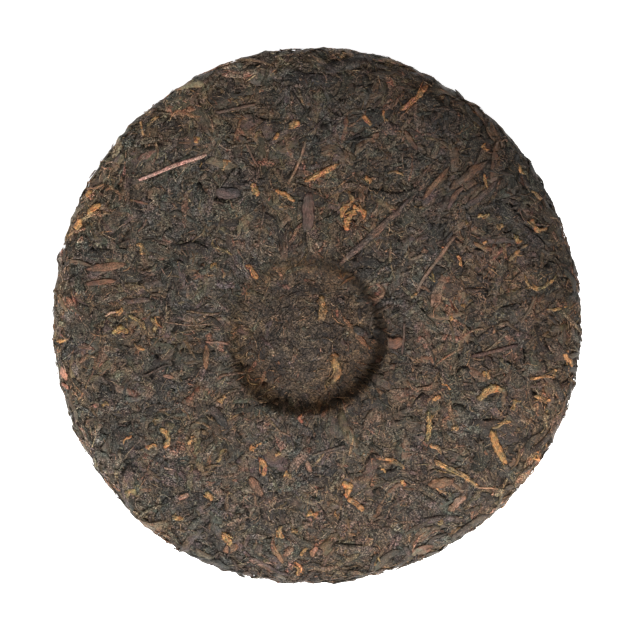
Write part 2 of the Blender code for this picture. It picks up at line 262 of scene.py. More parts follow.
def lay(u, v, lift, side):
    """Places that stand lift above the skin at u, v, squeezed thin where the cake rests on the ground."""
    step = 0.3 * MM
    along = skin(u + step, v, side) - skin(u - step, v, side)
    across = skin(u, v + step, side) - skin(u, v - step, side)
    normal = np.cross(along, across)
    normal /= np.linalg.norm(normal, axis=-1, keepdims=True)
    places = skin(u, v, side)
    lift = lift + RIM_UNEVENNESS * rim_share(u, v) * crags(places, RIM_CRAG_SEED)
    places += normal * (lift * side)[..., None]
    low = places[..., 2] < SQUEEZE_HEIGHT
    places[..., 2][low] = SQUEEZE_HEIGHT * np.exp((places[..., 2][low] - SQUEEZE_HEIGHT) / SQUEEZE_HEIGHT)
    return places


def put(tree, kind, inputs, **settings):
    """Adds a shader node with these settings and inputs, where an input is a value or a socket to link."""
    node = tree.nodes.new(kind)
    for name, value in settings.items():
        setattr(node, name, value)
    for name, value in inputs.items():
        if isinstance(value, bpy.types.NodeSocket):
            tree.links.new(value, node.inputs[name])
        else:
            node.inputs[name].default_value = value
    return node


def noise_on(tree, places, scale, detail=3, roughness=0.6, curl=0.0):
    """Noise from 0 to 1 at these places, at a number of bumps per metre, drawn out into curls."""
    sockets = {
        "Vector": places, "Scale": scale, "Detail": detail, "Roughness": roughness, "Distortion": curl,
    }
    return put(tree, "ShaderNodeTexNoise", sockets).outputs["Fac"]


def spread(tree, value, low, high, to_low=0.0, to_high=1.0):
    """Stretches the range from low to high over the range from to_low to to_high."""
    sockets = {"Value": value, "From Min": low, "From Max": high, "To Min": to_low, "To Max": to_high}
    return put(tree, "ShaderNodeMapRange", sockets).outputs["Result"]


def mixed(tree, share, first, second, blend="MIX"):
    """Mixes two colours by a share."""
    sockets = {0: share, 6: first, 7: second}
    return put(tree, "ShaderNodeMix", sockets, data_type="RGBA", blend_type=blend).outputs[2]


def math_on(tree, operation, first, second=0.0):
    """A sum, product or the like of two values."""
    return put(tree, "ShaderNodeMath", {0: first, 1: second}, operation=operation).outputs[0]


def times(tree, first, second):
    """The product of two values."""
    return math_on(tree, "MULTIPLY", first, second)


def vector_on(tree, operation, first, second=(0, 0, 0), output="Vector"):
    """A sum, distance or the like of two places."""
    return put(tree, "ShaderNodeVectorMath", {0: first, 1: second}, operation=operation).outputs[output]


def scaled(tree, colour, share):
    """A colour made lighter or darker by a share."""
    return put(tree, "ShaderNodeVectorMath", {0: colour, 3: share}, operation="SCALE").outputs[0]


def band(tree, value, middle, width, at_middle=1, outside=0):
    """A band that a value passes through: one value at its middle, and another from its width on."""
    away = math_on(tree, "ABSOLUTE", math_on(tree, "SUBTRACT", value, middle))
    return spread(tree, away, 0, width, at_middle, outside)


def felt(tree, places):
    """Light and dark of pressed leaf close up, and its height: grit, pale hairs, and painted shade in thin
    cracks.
    """
    grit = noise_on(tree, places, SPECK_BUMPS, 1, 0.5)
    speck = spread(tree, grit, 0.34, 0.66, *SPECK_SHADES)
    hairs = band(tree, noise_on(tree, places, HAIR_BUMPS, 1, 0.5, 1.4), 0.5, LINE_WIDTH, *HAIR_SHADES)
    # Thin dark lines: painted shade in the cracks between the pressed bits.
    cracks = band(tree, noise_on(tree, places, CRACK_BUMPS, 2, 0.6, 0.8), 0.5, LINE_WIDTH, *CRACK_SHADES)
    shade = times(tree, times(tree, speck, hairs), cracks)
    return shade, math_on(tree, "ADD", math_on(tree, "ADD", grit, hairs), cracks)


def side_spread(tree, places, side, reach, shades=(0, 1)):
    """Values that go from one shade to the other as places lie further towards a side."""
    outward = (math.cos(side), math.sin(side), 0)
    return spread(tree, vector_on(tree, "DOT_PRODUCT", places, outward, "Value"), *reach, *shades)


def hollow_tinted(tree, places, flat, on_back, colour):
    """The hollow: its floor dusty in blots, grit and rings, its wall brown with dust and painted lighter on
    one side and darkened with painted shade on the other, and painted shade outside its lip and along its
    brim.
    """
    centre = (HOLLOW_CENTRE[0] + RIM_CENTRE[0], HOLLOW_CENTRE[1] + RIM_CENTRE[1], 0)
    out = vector_on(tree, "DISTANCE", flat, centre, "Value")
    towards = vector_on(tree, "NORMALIZE", vector_on(tree, "SUBTRACT", flat, centre))
    ring = put(tree, "ShaderNodeCombineXYZ", {"Z": times(tree, out, SWIRL_RINGS)}).outputs["Vector"]
    spun = vector_on(tree, "MULTIPLY", towards, SWIRL_TURNS)
    swirl = noise_on(tree, vector_on(tree, "ADD", spun, ring), 1, 3, 0.6, 0.5)
    on_floor = spread(tree, out, WALL_RADIUS, WALL_RADIUS - WALL_BAND, 0, FLOOR_SHARE)
    on_floor = times(tree, on_back, on_floor)
    for share, tints in (
        (spread(tree, out, MIDDLE_RADIUS + WALL_BAND, MIDDLE_RADIUS - WALL_BAND), FLOOR_TINTS),
        (spread(tree, noise_on(tree, places, BLOT_BUMPS, 2), 0.38, 0.62), BLOT_TINTS),
        (spread(tree, noise_on(tree, places, GRIT_BUMPS, 2), 0.38, 0.62), GRIT_TINTS),
        (spread(tree, swirl, 0.35, 0.65), SWIRL_TINTS),
    ):
        colour = mixed(tree, on_floor, colour, mixed(tree, share, *tints), "MULTIPLY")
    # Brown dust on the wall, painted lighter on one side and darkened with painted shade on the other.
    wall = times(tree, on_back, band(tree, out, WALL_RADIUS, WALL_BAND))
    wall_shade_share = side_spread(tree, towards, SHADED_WALL_SIDE, SHADED_WALL_REACH)
    wall_dust_and_shade_tint = mixed(tree, wall_shade_share, DUSTY_LIT_WALL_TINT, SHADED_WALL_TINT)
    colour = mixed(tree, wall, colour, wall_dust_and_shade_tint, "MULTIPLY")
    # Painted shade: a broad band outside the lip on one side, and a thin line along the brim on another.
    for radius, width, side, reach, tint in (
        (LIP_RADIUS, LIP_BAND, LIP_SHADE_SIDE, LIP_SHADE_REACH, LIP_SHADE_TINT),
        (BRIM_RADIUS, BRIM_BAND, BRIM_SHADE_SIDE, BRIM_SHADE_REACH, BRIM_SHADE_TINT),
    ):
        share = times(tree, band(tree, out, radius, width), side_spread(tree, towards, side, reach))
        colour = mixed(tree, times(tree, share, on_back), colour, tint, "MULTIPLY")
    return colour


def rim_tinted(tree, flat, height, colour):
    """The rim: rubbed paler and painted lighter, most of all on one side, with painted shade at the front.
    """
    edgeward = vector_on(tree, "LENGTH", flat, output="Value")
    wear_and_light_share = spread(tree, edgeward, RIM_WEAR_AND_LIGHT_START, RIM_WEAR_AND_LIGHT_END)
    wear_and_light_share = times(tree, wear_and_light_share, spread(tree, height, 0.4 * MID_HEIGHT, MID_HEIGHT, 0.35, 1))
    # Painted light on the rim on one side, and painted shade on its front.
    rim_light_share = side_spread(tree, flat, RIM_LIGHT_SIDE, RIM_LIGHT_REACH)
    rim_wear_and_light_tint = mixed(tree, rim_light_share, RIM_WEAR_AND_LIGHT_TINT, PAINTED_RIM_LIGHT_TINT)
    rim_wear_and_light_tint = mixed(tree, side_spread(tree, flat, FRONT_SHADE_SIDE, FRONT_SHADE_REACH), rim_wear_and_light_tint, FRONT_RIM_SHADE_TINT)
    return mixed(tree, wear_and_light_share, colour, rim_wear_and_light_tint, "MULTIPLY")


def worn_and_shaded(tree, places, colour):
    """A colour with the tints of its place: hollow, rim, grey and brown patches, and painted shade and light
    on the cake's sides.
    """
    flat = put(tree, "ShaderNodeMapping", {"Vector": places, "Scale": (1, 1, 0)}).outputs["Vector"]
    height = put(tree, "ShaderNodeSeparateXYZ", {"Vector": places}).outputs["Z"]
    on_back = spread(tree, height, 0.4 * MID_HEIGHT, 0.6 * MID_HEIGHT)
    colour = hollow_tinted(tree, places, flat, on_back, colour)
    colour = rim_tinted(tree, flat, height, colour)
    patches = spread(tree, noise_on(tree, places, PATCH_BUMPS, 2), 0.4, 0.6)
    colour = mixed(tree, 1.0, colour, mixed(tree, patches, *PATCH_TINTS), "MULTIPLY")
    colour = mixed(tree, side_spread(tree, flat, RUSSET_SIDE, RUSSET_REACH), colour, RUSSET_TINT, "MULTIPLY")
    # Painted shade on the side away from the light, and painted light on the side towards it.
    dark = side_spread(tree, flat, SHADED_SIDE, SHADED_REACH, SHADED_SIDE_SHADES)
    pale = side_spread(tree, flat, LIT_SIDE, LIT_REACH, LIT_SIDE_SHADES)
    return scaled(tree, colour, times(tree, dark, pale))


def new_material(name):
    """A material with its shader and node tree."""
    material = bpy.data.materials.new(name)
    material.use_nodes = True
    return material, material.node_tree, material.node_tree.nodes["Principled BSDF"]


def dress(tree, shader, colour, roughness, height, depth):
    """Gives a shader its colour, roughness and bumps of a depth, with the dull shine of dry leaf."""
    tree.links.new(colour, shader.inputs["Base Color"])
    tree.links.new(roughness, shader.inputs["Roughness"])
    bump = put(tree, "ShaderNodeBump", {"Height": height, "Strength": 0.8, "Distance": depth})
    tree.links.new(bump.outputs["Normal"], shader.inputs["Normal"])
    shader.inputs["Specular IOR Level"].default_value = LEAF_SPECULAR


def finish_piece(piece, material):
    """Gives a piece its material and smooth shading, and joins it to the cake."""
    bpy.context.scene.collection.objects.link(piece)
    piece.data.materials.append(material)
    piece.data.shade_smooth()
    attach(piece, "root")


def core_form():
    """The core's mesh: an unrolled half section spun round, then moved onto the cake's surface."""
    form = bmesh.new()
    back = [form.verts.new((reach, 0, BACK)) for reach in np.linspace(0, RIM_REACH[BACK], CORE_RINGS_BACK)]
    face_reaches = np.linspace(RIM_REACH[FACE], 0, CORE_RINGS_FACE)[1:]
    face = [form.verts.new((reach, 0, FACE)) for reach in face_reaches]
    chain = back + face
    edges = [form.edges.new(pair) for pair in zip(chain, chain[1:])]
    bmesh.ops.spin(
        form, geom=chain + edges, cent=(0, 0, 0), axis=(0, 0, 1), angle=2 * math.pi,
        steps=CORE_SECTORS, use_merge=True,
    )
    bmesh.ops.remove_doubles(form, verts=form.verts, dist=0.01 * MM)
    flat = np.array([vertex.co for vertex in form.verts])
    placed = np.empty_like(flat)
    for side in (BACK, FACE):
        on_side = np.sign(flat[:, 2]) == side
        u, v = flat[on_side, 0], flat[on_side, 1]
        inset = CORE_INSET + RIM_INSET * rim_share(u, v, INSET_START, INSET_SPAN)
        placed[on_side] = lay(u, v, -inset, side)
        rough = CRAG_HEIGHT * crags(placed[on_side], CORE_CRAG_SEED)
        placed[on_side] = lay(u, v, rough - inset, side)
    for vertex, place in zip(form.verts, placed):
        vertex.co = place
    form.normal_update()
    bmesh.ops.recalc_face_normals(form, faces=form.faces)
    mesh = bpy.data.meshes.new("pressed_core")
    form.to_mesh(mesh)
    form.free()
    return mesh


core_material, tree, shader = new_material("pressed_core")
places = put(tree, "ShaderNodeTexCoord", {}).outputs["Object"]
clumps = spread(tree, noise_on(tree, places, CLUMP_BUMPS, 3), 0.36, 0.64)
shade, relief = felt(tree, places)
core_colour = scaled(tree, mixed(tree, clumps, CORE_COLOUR, CORE_DUST_COLOUR), shade)
gloss = spread(tree, relief, 1, 3, 0.9, 0.6)
dress(tree, shader, worn_and_shaded(tree, places, core_colour), gloss, relief, 0.12 * MM)
core = bpy.data.objects.new("pressed_core", core_form())
finish_piece(core, core_material)
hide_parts("tea_cake")

# The leaves on the back: torn and folded fermented leaf, charcoal to dark brown, pressed flush over one
# another. Each is a closed strip with a flat top and low ragged edges, with its own bend and tilt.
LEAF_SEED = 11
LEAF_CUTS = 4
LEAF_COUNT = 1650
LEAF_SIZE = (8.5 * MM, 2.3 * MM, 0.36 * MM)
LEAF_LIFT = 0.055 * MM
LEAF_SECTION = ((1, 0), (0.8, 0.9), (0, 0.7), (-0.8, 0.9), (-1, 0), (0, -1))
LEAF_TONES = (
    (0.00, (0.0150, 0.0118, 0.0090)),
    (0.14, (0.0265, 0.0245, 0.0190)),
    (0.28, (0.0460, 0.0355, 0.0250)),
    (0.40, (0.0470, 0.0445, 0.0340)),
    (0.52, (0.0600, 0.0440, 0.0400)),
    (0.64, (0.0650, 0.0515, 0.0310)),
    (0.78, (0.0880, 0.0590, 0.0370)),
    (0.90, (0.1040, 0.0850, 0.0600)),
    (1.00, (0.1140, 0.0580, 0.0370)),
)
# Grey of pale hairs, and of a painted sheen on the brightest specks.
HAIR_AND_SHEEN_COLOUR = (0.168, 0.160, 0.152, 1)
DOWN_COLOUR = (0.24, 0.19, 0.13, 1)
WARMTH_TINTS = ((1.16, 0.94, 0.88, 1), (0.93, 1.02, 0.99, 1))
CAST_TINTS = ((1.08, 0.95, 1.02, 1), (0.95, 1.03, 0.95, 1))
FELTING_SPACING = 37
CAST_SPACING = 91
HUE_BUMPS = 240
DOWN_BUMPS = 2100
GRAIN_BUMPS = (350, 1800, 1)
GOLDEN_ANGLE = math.pi * (3 - math.sqrt(5))
STRAY = 0.35
RIM_TURNED = 0.8
RIM_STRAY = 0.55
RIM_TURN_SPAN = 9 * MM
KNOT_TURNED = 0.55
KNOT_STRAY = 0.5
FLOOR_REACH = 22 * MM
SWIRL_REACH = 42 * MM
WAVES_ALONG = 11
SWAYS_ALONG = 7
LEAST_BEND = 1e-3
GROUND_START = 24 * MM
GROUND_SPAN = 6 * MM
GROUND_SHARES = (("length", 0.55), ("width", 0.5), ("thickness", 0.35), ("edge_shade", 0.7), ("sway", 0.6))
STANDING_SHAPE = 1.5
STANDING_SIZE = 0.32 * MM
STANDING_MOST = 0.9 * MM
STANDING_BASE = 0.4 * MM
CELL_SHAPE = 2.4
CELL_SHARE = 0.84
CELL_MARGIN = 0.06


def rod(section, cuts):
    """A rod of unit length with this section and rings between its ends: places, triangles, unwrapping."""
    form = bmesh.new()
    sides = len(section)
    bmesh.ops.create_cone(form, cap_ends=True, segments=sides, radius1=1, radius2=1, depth=1)
    long_edges = [edge for edge in form.edges if abs(edge.verts[0].co.z - edge.verts[1].co.z) > 0.5]
    bmesh.ops.subdivide_edges(form, edges=long_edges, cuts=cuts)
    bmesh.ops.triangulate(form, faces=form.faces)
    form.normal_update()
    corner = {
        vertex: round(math.atan2(vertex.co.y, vertex.co.x) * sides / (2 * math.pi) - 0.01) % sides
        for vertex in form.verts
    }
    unwrapped = []
    for face in form.faces:
        end = round(face.normal.z)
        lowest = min(corner[vertex] for vertex in face.verts)
        for vertex in face.verts:
            step = corner[vertex]
            if lowest == 0 and step == sides - 1:
                step = -1
            if end:
                unwrapped.append((end * (0.53 + 0.02 * vertex.co.y), 0.25 + 0.02 * vertex.co.x))
            else:
                unwrapped.append((vertex.co.z, step / sides))
    shape = {
        "places": np.array([(*section[corner[vertex]], vertex.co.z) for vertex in form.verts]),
        "faces": np.array([[vertex.index for vertex in face.verts] for face in form.faces]),
        "unwrapped": np.array(unwrapped),
    }
    form.free()
    return shape


def scatter(count, inner, outer, rng):
    """Plan places spread evenly over a ring by the golden angle, each a little off its place."""
    number = np.arange(count)
    reach = np.sqrt(inner**2 + (outer**2 - inner**2) * (number + 0.5) / count)
    gap = math.sqrt(math.pi * (outer**2 - inner**2) / count)
    u = reach * np.cos(GOLDEN_ANGLE * number) + rng.normal(0, STRAY * gap, count)
    v = reach * np.sin(GOLDEN_ANGLE * number) + rng.normal(0, STRAY * gap, count)
    return u, v


def headings(u, v, side, rng):
    """How pieces lie: at random, but along the rim near it, and round the hollow as the knot drew them."""
    heading = rng.uniform(0, 2 * math.pi, len(u))
    at_rim = rim_share(u, v, span=RIM_TURN_SPAN)
    along_rim = np.arctan2(v, u) + math.pi / 2 + rng.normal(0, RIM_STRAY, len(u))
    heading = np.where(rng.random(len(u)) < RIM_TURNED * at_rim, along_rim, heading)
    if side == BACK:
        away_u = u - HOLLOW_CENTRE[0]
        away_v = v - HOLLOW_CENTRE[1]
        out = np.hypot(away_u, away_v)
        turned = np.where(out < FLOOR_REACH, math.pi / 2, 0)
        swirl = np.arctan2(away_v, away_u) + turned + rng.normal(0, KNOT_STRAY, len(u))
        heading = np.where((out < SWIRL_REACH) & (rng.random(len(u)) < KNOT_TURNED), swirl, heading)
    return heading


def strips(name, shape, lot, side, rng):
    """One joined mesh with a bent, twisted, tapered rod laid on the skin for each entry of the lot."""
    across, up, along = shape["places"].T
    count = len(lot["u"])
    rows = {key: np.broadcast_to(value, count)[:, None] for key, value in lot.items()}
    taper = 1 - rows["taper"] * np.abs(2 * along) ** rows["blunt"]
    ragged = 1 + rows["ragged"] * rng.normal(size=(count, len(along)))
    wide = rows["width"] / 2 * taper * ragged * across
    high = rows["thickness"] / 2 * taper * up
    roll = rows["roll"] + rows["twist"] * along
    sideways = wide * np.cos(roll) - high * np.sin(roll)
    lift = rows["lift"] + rows["pitch"] * along + wide * np.sin(roll) + high * np.cos(roll)
    lift = lift + rows["wave"] * np.sin(WAVES_ALONG * along + rows["phase"])
    bend = np.where(np.abs(rows["bend"]) < LEAST_BEND, LEAST_BEND, rows["bend"])
    turn = bend * along
    forward = rows["length"] * np.sin(turn) / bend - sideways * np.sin(turn)
    aside = rows["length"] * (1 - np.cos(turn)) / bend + sideways * np.cos(turn)
    aside = aside + rows["sway"] * np.sin(SWAYS_ALONG * along + rows["phase"])
    cosine, sine = np.cos(rows["heading"]), np.sin(rows["heading"])
    u = rows["u"] + forward * cosine - aside * sine
    v = rows["v"] + forward * sine + aside * cosine
    places = lay(u, v, lift, side).reshape(-1, 3)
    starts = np.arange(count)[:, None, None] * len(along)
    faces = (shape["faces"][None] + starts).reshape(-1, 3)
    if side == FACE:
        faces = faces[:, ::-1]
    mesh = bpy.data.meshes.new(name)
    mesh.from_pydata(places, [], faces)
    # Painted shade along each strip's low sides and ends, where it meets the leaves around it; a few are
    # painted a little lighter instead.
    edge = np.where((up <= 0) | (np.abs(along) > 0.49), 1.0, 0.0) * rows["edge_shade"]
    for attribute, values in (("tone", np.repeat(rows["tone"], len(along))), ("edge", edge.ravel())):
        layer = mesh.attributes.new(attribute, "FLOAT", "POINT")
        layer.data.foreach_set("value", values.astype(np.float32))
    add_unwrapping(mesh, shape, rows, count, side)
    mesh.update()
    return bpy.data.objects.new(name, mesh)


def add_unwrapping(mesh, shape, rows, count, side):
    """Two maps: metres along and across each piece, for its grain, and a grid with a cell for each piece."""
    along, around = shape["unwrapped"].T
    if side == FACE:
        along = along.reshape(-1, 3)[:, ::-1].ravel()
        around = around.reshape(-1, 3)[:, ::-1].ravel()
    grain = np.stack(
        [
            along * rows["length"] + rows["phase"],
            around * 2 * (rows["width"] + rows["thickness"]) + 3 * rows["phase"],
        ],
        axis=-1,
    )
    columns = max(1, round(math.sqrt(count / CELL_SHAPE)))
    lines = math.ceil(count / columns)
    number = np.arange(count)[:, None]
    open_share = np.interp(around, [-0.17, 0, 0.67, 0.84], [0, 0.08, 0.92, 1])
    cell = np.stack(
        [
            (number % columns + 0.5 + CELL_SHARE * along) / columns,
            (number // columns + CELL_MARGIN + CELL_SHARE * open_share) / lines,
        ],
        axis=-1,
    )
    for name, values in (("grain", grain), ("OFBake", cell)):
        layer = mesh.uv_layers.new(name=name)
        layer.uv.foreach_set("vector", values.reshape(-1).astype(np.float32))


def leaf_sizes(count, rng, usual, lift):
    """Sizes of strips about a usual length, width and thickness. Each has its own bend and tilt."""
    length, width, thickness = usual
    size = rng.lognormal(0, 0.38, count)
    lengths = np.clip(length * size * rng.lognormal(0, 0.22, count), 0.35 * length, 2.2 * length)
    return {
        "length": lengths,
        "width": np.clip(width * size**0.8 * rng.lognormal(0, 0.25, count), 0.45 * width, 2.1 * width),
        "thickness": thickness * rng.uniform(0.7, 1.3, count),
        "lift": rng.normal(0, lift, count),
        "pitch": rng.normal(0, 1.5 * lift, count),
        "roll": rng.normal(0, 0.05, count),
        "twist": rng.normal(0, 0.10, count),
        "bend": rng.normal(0, 0.45, count),
        "sway": rng.normal(0, 0.35 * MM, count),
        "wave": rng.normal(0, 0.06 * MM, count),
        "phase": rng.uniform(0, 6.3, count),
        "taper": rng.uniform(0.2, 0.95, count),
        "blunt": rng.uniform(2, 9, count),
        "ragged": rng.uniform(0.08, 0.26, count),
        "edge_shade": rng.uniform(-0.35, 1.0, count),
    }


def tone_colour(tree, share, tones):
    """The colour at a share of the way through a row of tones."""
    node = put(tree, "ShaderNodeValToRGB", {"Fac": share})
    ramp = node.color_ramp
    while len(ramp.elements) < len(tones):
        ramp.elements.new(1)
    for element, (position, colour) in zip(ramp.elements, tones):
        element.position = position
        element.color = (*colour, 1)
    return node.outputs["Color"]


def own_share(tree, tone, spacing):
    """A share from 0 to 1 that each piece has to itself, from the far decimals of its tone."""
    return math_on(tree, "FRACT", times(tree, tone, spacing))


def leaf_material(name, tones, gold, edge_shade=0.8, patch=90, drift=0.25, felting=1.0, fold=0.5, wear_and_light_share=1.0):
    """Dried leaf: its own tone, folds along it with painted shade in their grooves, painted shade at its
    edges, felted grit, a painted grey sheen on its brightest specks, broken gloss and a dust of golden down.
    """
    material, tree, shader = new_material(name)
    places = put(tree, "ShaderNodeTexCoord", {}).outputs["Object"]
    grain = put(tree, "ShaderNodeUVMap", {}, uv_map="grain").outputs["UV"]
    stretch = put(tree, "ShaderNodeMapping", {"Vector": grain, "Scale": GRAIN_BUMPS}).outputs["Vector"]
    wrinkles = noise_on(tree, stretch, 1, 2)
    tone = put(tree, "ShaderNodeAttribute", {}, attribute_name="tone").outputs["Fac"]
    edge = put(tree, "ShaderNodeAttribute", {}, attribute_name="edge").outputs["Fac"]
    own = own_share(tree, tone, FELTING_SPACING)
    drifting = spread(tree, noise_on(tree, places, patch, 3), 0.3, 0.7, -drift, drift)
    toned = tone_colour(tree, math_on(tree, "ADD", tone, drifting), tones)
    felted, relief = felt(tree, places)
    felted = math_on(tree, "POWER", felted, spread(tree, own, 0, 1, 0.15 * felting, 1.75 * felting))
    # Thin dark lines along the grain: painted shade in the grooves of the folds, which also raise the bumps.
    folds = band(tree, wrinkles, 0.5, 0.07, fold, 1.15)
    shade = times(tree, folds, felted)
    # Painted shade at the strip's edges, by its edge attribute.
    shade = times(tree, shade, spread(tree, edge, -1, 1, 1 + edge_shade, 1 - edge_shade))
    # The brightest specks turn grey: pale hairs, and a painted sheen standing in for the leaf's dull shine.
    hairy_and_sheened = mixed(tree, spread(tree, felted, 1.1, 2.8, 0, 0.55), scaled(tree, toned, shade), HAIR_AND_SHEEN_COLOUR)
    hues = spread(tree, noise_on(tree, places, HUE_BUMPS, 2), 0.36, 0.64)
    tinted = mixed(tree, 0.9, hairy_and_sheened, mixed(tree, hues, *WARMTH_TINTS), "MULTIPLY")
    cast = mixed(tree, own_share(tree, tone, CAST_SPACING), *CAST_TINTS)
    tinted = mixed(tree, 1.0, tinted, cast, "MULTIPLY")
    fluff = spread(tree, noise_on(tree, places, DOWN_BUMPS, 1, 0.5), 0.66, 0.72, 0, gold)
    downy = mixed(tree, fluff, tinted, DOWN_COLOUR)
    # The tints of its place, which include painted light and shade, at a share.
    colour = mixed(tree, wear_and_light_share, downy, worn_and_shaded(tree, places, downy))
    gloss = spread(tree, wrinkles, 0.3, 0.7, 0.75, 0.5)
    gloss = times(tree, gloss, spread(tree, own, 0, 1, 0.75, 1.1))
    dress(tree, shader, colour, gloss, math_on(tree, "ADD", folds, relief), 0.1 * MM)
    return material


def settle(lot, u, v, rng):
    """In the hollow the knot ground the leaf finer and flatter. At the rim its ends stand out a little."""
    from_middle = np.hypot(u - HOLLOW_CENTRE[0], v - HOLLOW_CENTRE[1])
    ground = 1 - smooth_step((from_middle - GROUND_START) / GROUND_SPAN)
    for key, share in GROUND_SHARES:
        lot[key] = lot[key] * (1 - share * ground)
    at_rim = rim_share(u, v)
    standing = np.minimum(rng.gamma(STANDING_SHAPE, STANDING_SIZE, len(u)), STANDING_MOST)
    lot["lift"] = lot["lift"] + at_rim * (standing - STANDING_BASE)
    lot["pitch"] = lot["pitch"] * (1 + 1.5 * at_rim)


leaf_rng = np.random.default_rng(LEAF_SEED)
leaf_shape = rod(LEAF_SECTION, LEAF_CUTS)
leaf_u, leaf_v = scatter(LEAF_COUNT, 0, RIM_REACH[BACK], leaf_rng)
leaves = leaf_sizes(LEAF_COUNT, leaf_rng, LEAF_SIZE, LEAF_LIFT)
settle(leaves, leaf_u, leaf_v, leaf_rng)
leaves["tone"] = leaf_rng.beta(0.75, 1.05, LEAF_COUNT)
leaves["heading"] = headings(leaf_u, leaf_v, BACK, leaf_rng)
leaves.update(u=leaf_u, v=leaf_v)
leaf_stuff = leaf_material("dark_leaf", LEAF_TONES, gold=0.5, edge_shade=0.75)
finish_piece(strips("back_leaves", leaf_shape, leaves, BACK, leaf_rng), leaf_stuff)

# The large leaves on the back: whole leaves, dark and wrinkled, that were pressed flat under the rest. They
# are wide strips of the torn leaves' section, in their material, and lie outside the hollow.
LARGE_SEED = 13
LARGE_COUNT = 300
LARGE_SIZE = (10 * MM, 4.8 * MM, 0.32 * MM)
LARGE_LIFT = 0.03 * MM
LARGE_PROUD = 0.02 * MM
LARGE_START = 40 * MM
large_rng = np.random.default_rng(LARGE_SEED)
large_u, large_v = scatter(LARGE_COUNT, LARGE_START, RIM_REACH[BACK], large_rng)
large = leaf_sizes(LARGE_COUNT, large_rng, LARGE_SIZE, LARGE_LIFT)
large["lift"] += LARGE_PROUD
large["roll"] = 0 * large["roll"]
large["edge_shade"] = large_rng.uniform(0.5, 1, LARGE_COUNT)
large["tone"] = 0.75 * large_rng.beta(1.2, 2.2, LARGE_COUNT)
large["heading"] = headings(large_u, large_v, BACK, large_rng)
large.update(u=large_u, v=large_v)
finish_piece(strips("back_large_leaves", leaf_shape, large, BACK, large_rng), leaf_stuff)

# The rolled leaves on the back: younger leaf that was rolled and twisted before it was pressed, browner
# and narrower than the torn leaf, and tucked in between it.
ROLLED_SEED = 23
ROLLED_COUNT = 1200
ROLLED_SIZE = (7 * MM, 0.95 * MM, 0.45 * MM)
ROLLED_LIFT = 0.08 * MM
ROLLED_SECTION = ((1, 0), (0.6, 0.8), (0, 1), (-0.6, 0.8), (-1, 0), (0, -1))
ROLLED_TONES = (
    (0.00, (0.017, 0.015, 0.011)),
    (0.28, (0.040, 0.028, 0.019)),
    (0.52, (0.057, 0.045, 0.033)),
    (0.68, (0.078, 0.049, 0.028)),
    (0.82, (0.113, 0.078, 0.044)),
    (0.92, (0.095, 0.046, 0.033)),
    (1.00, (0.168, 0.105, 0.055)),
)
rolled_rng = np.random.default_rng(ROLLED_SEED)
rolled_shape = rod(ROLLED_SECTION, LEAF_CUTS)
rolled_u, rolled_v = scatter(ROLLED_COUNT, 0, RIM_REACH[BACK], rolled_rng)
rolled = leaf_sizes(ROLLED_COUNT, rolled_rng, ROLLED_SIZE, ROLLED_LIFT)
rolled["twist"] = rolled_rng.normal(0, 1.2, ROLLED_COUNT)
rolled["bend"] = rolled_rng.normal(0, 0.8, ROLLED_COUNT)
rolled["tone"] = rolled_rng.beta(0.9, 1.2, ROLLED_COUNT)
rolled["heading"] = headings(rolled_u, rolled_v, BACK, rolled_rng)
rolled.update(u=rolled_u, v=rolled_v)
settle(rolled, rolled_u, rolled_v, rolled_rng)
rolled_stuff = leaf_material("rolled_leaf", ROLLED_TONES, gold=0.6, edge_shade=0.5)
rolled_piece = strips("back_rolled_leaves", rolled_shape, rolled, BACK, rolled_rng)
finish_piece(rolled_piece, rolled_stuff)

# The broken leaf on the back: small brown flakes that filled the gaps between the leaves in the press.
# They are short strips of the leaves' section, in the rolled leaves' material.
FLAKE_SEED = 37
FLAKE_CUTS = 1
FLAKE_COUNT = 4200
FLAKE_SIZE = (1.9 * MM, 0.75 * MM, 0.36 * MM)
FLAKE_LIFT = 0.08 * MM
flake_rng = np.random.default_rng(FLAKE_SEED)
flake_shape = rod(LEAF_SECTION, FLAKE_CUTS)
flake_u, flake_v = scatter(FLAKE_COUNT, 0, RIM_REACH[BACK], flake_rng)
flakes = leaf_sizes(FLAKE_COUNT, flake_rng, FLAKE_SIZE, FLAKE_LIFT)
flakes["roll"] = flake_rng.normal(0, 0.15, FLAKE_COUNT)
flakes["sway"] = 0 * flakes["sway"]
flakes["tone"] = flake_rng.beta(1.3, 1.6, FLAKE_COUNT)
flakes["heading"] = headings(flake_u, flake_v, BACK, flake_rng)
flakes.update(u=flake_u, v=flake_v)
settle(flakes, flake_u, flake_v, flake_rng)
finish_piece(strips("back_flakes", flake_shape, flakes, BACK, flake_rng), rolled_stuff)

# The fine fibres: hairs, veins and slivers of stem, tan to brown, that felt the surface over the leaves.
# Each is a thin bent rod of three sides, strewn by a seeded rule.
FIBRE_SEED = 41
FIBRE_COUNT = 8600
FIBRE_SIZE = (2.3 * MM, 0.2 * MM, 0.18 * MM)
FIBRE_LIFT = 0.07 * MM
FIBRE_PROUD = 0.24 * MM
FIBRE_CUTS = 2
FIBRE_SECTION = ((1, 0), (-0.5, 0.87), (-0.5, -0.87))
FIBRE_TONES = (
    (0.00, (0.016, 0.012, 0.010)),
    (0.35, (0.080, 0.063, 0.048)),
    (0.60, (0.175, 0.148, 0.112)),
    (0.80, (0.245, 0.185, 0.120)),
    (1.00, (0.240, 0.140, 0.080)),
)
fibre_rng = np.random.default_rng(FIBRE_SEED)
fibre_shape = rod(FIBRE_SECTION, FIBRE_CUTS)
fibre_u, fibre_v = scatter(FIBRE_COUNT, 0, RIM_REACH[BACK], fibre_rng)
fibres = leaf_sizes(FIBRE_COUNT, fibre_rng, FIBRE_SIZE, FIBRE_LIFT)
fibres["length"] *= fibre_rng.choice((0.8, 1, 1, 1.7), FIBRE_COUNT)
